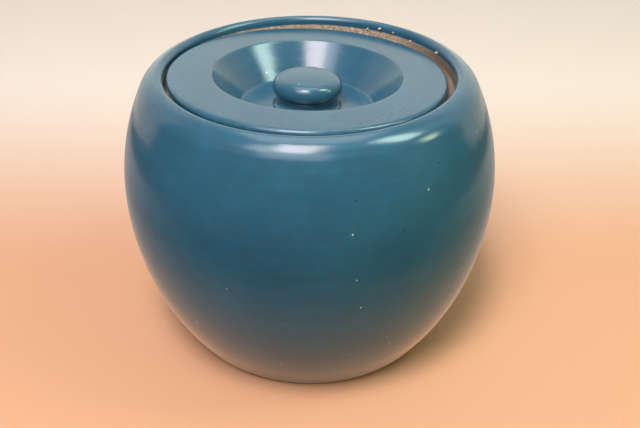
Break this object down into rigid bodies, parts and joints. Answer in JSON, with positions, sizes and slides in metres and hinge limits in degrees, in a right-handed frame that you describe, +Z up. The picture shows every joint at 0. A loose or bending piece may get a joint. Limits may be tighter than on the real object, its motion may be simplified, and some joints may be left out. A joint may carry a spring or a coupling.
{
  "type": "butter crock",
  "caption": "Round-bellied glazed stoneware crock for butter, with a loose lid sunk inside its lip and a mushroom knob in the lid's well.",
  "frame": {"origin": "centre of the foot, on the surface that the crock stands on", "axes": "+Z up along the pot's turning axis; the loose lid lies a little towards -X and tips down 2 degrees towards the back right; -Y faces the viewer"},
  "size_m": [0.23, 0.23, 0.1756],
  "materials": {
    "teal_glaze": "satin glaze over stoneware",
    "bare_clay": "bare fired stoneware, matt and gritty"
  },
  "bodies": {
    "crock": {"crock_body": "teal_glaze"},
    "lid": {"lid_dish": "teal_glaze", "lid_knob": "teal_glaze"}
  },
  "joints": [
    {"name": "lid_lift", "type": "slide", "parent": "crock", "child": "lid", "axis": [0, 0, 1], "range_m": [0, 0.1]}
  ]
}
